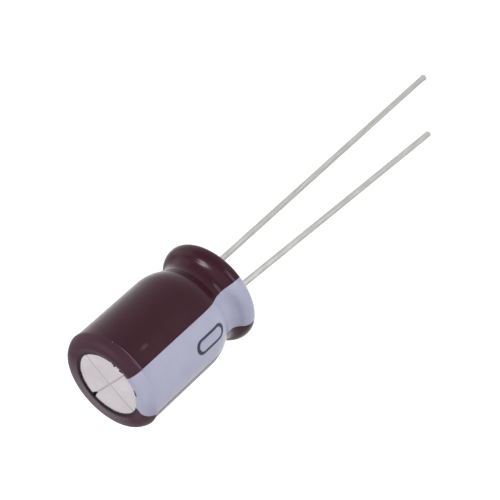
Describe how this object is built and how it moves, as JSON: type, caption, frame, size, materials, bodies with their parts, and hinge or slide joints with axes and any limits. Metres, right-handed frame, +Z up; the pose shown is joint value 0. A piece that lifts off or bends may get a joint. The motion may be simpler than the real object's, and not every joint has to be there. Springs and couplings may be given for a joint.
{
  "type": "electrolytic capacitor",
  "caption": "radial aluminium electrolytic capacitor: brown shrink sleeve with a pale stripe, cross-scored vent disc, grooved bead, rubber bung and wire leads of unequal length",
  "frame": {"origin": "the middle of the seating plane, where the bung's outer face meets the board, midway between the leads", "axes": "+Z runs up the can's axis from the seating plane to the vent; the leads lie along X and point down, positive at +X, negative (under the stripe) at -X"},
  "size_m": [0.0084, 0.0084, 0.0428],
  "materials": {
    "sleeve": "glossy shrunk film, dark brown with a pale lilac-grey stripe",
    "can": "satin drawn aluminium",
    "bung": "matt moulded rubber",
    "tinned_wire": "satin tinned copper-clad steel wire",
    "tab": "plain pressed aluminium",
    "anode_foil": "dull etched foil",
    "cathode_foil": "satin foil",
    "separator": "wet manila paper",
    "tape": "thin film tape"
  },
  "bodies": {
    "root": {"sleeve": "sleeve", "can": "can", "bung": "bung", "anode_lead": "tinned_wire", "cathode_lead": "tinned_wire", "anode_tab": "tab", "cathode_tab": "tab", "anode_foil": "anode_foil", "inner_separator": "separator", "cathode_foil": "cathode_foil", "outer_separator": "separator", "stop_tape": "tape"}
  },
  "joints": []
}
